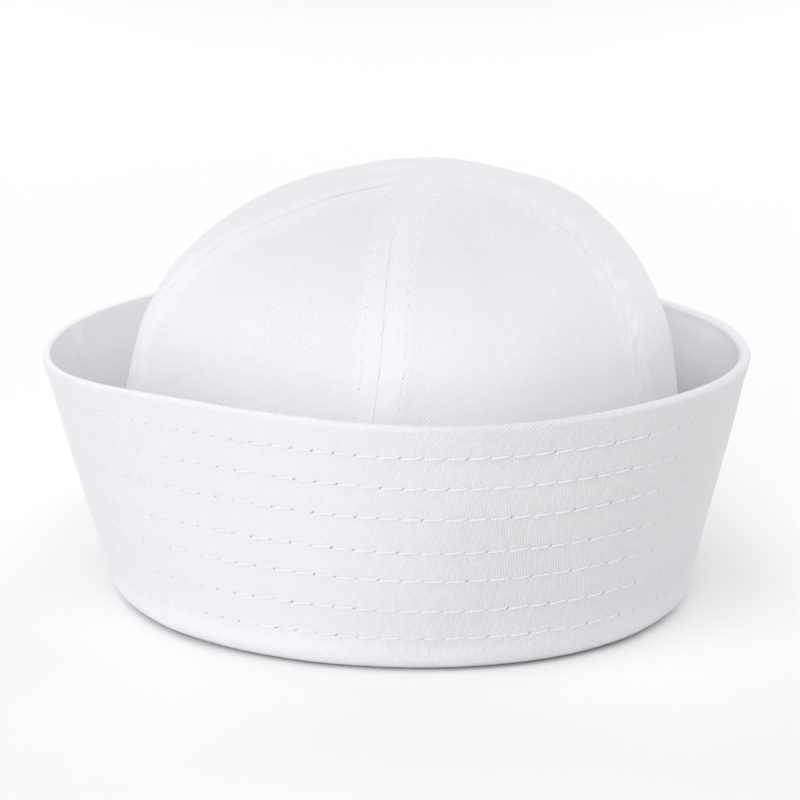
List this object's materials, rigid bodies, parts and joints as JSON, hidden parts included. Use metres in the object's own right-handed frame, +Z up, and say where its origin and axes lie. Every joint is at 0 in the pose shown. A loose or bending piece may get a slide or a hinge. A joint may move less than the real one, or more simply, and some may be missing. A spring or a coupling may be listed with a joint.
{
  "type": "sailor cap",
  "caption": "Soft white cloth sailor cap: a round crown sewn from wedge gores inside one wide, row-stitched brim turned up all round.",
  "frame": {"origin": "on the plane that the cap's fold rests on, under the middle of its outline seen from above", "axes": "+Z up through the crown, -Y towards the front of the cap, +X towards the right of the picture"},
  "size_m": [0.2276, 0.24, 0.1358],
  "materials": {
    "brim_twill": "matte cotton twill",
    "crown_twill": "matte cotton twill"
  },
  "bodies": {
    "root": {"brim": "brim_twill", "gore_front_left": "crown_twill", "gore_front_right": "crown_twill", "gore_right": "crown_twill", "gore_back_right": "crown_twill", "gore_back_left": "crown_twill", "gore_left": "crown_twill"}
  },
  "joints": []
}
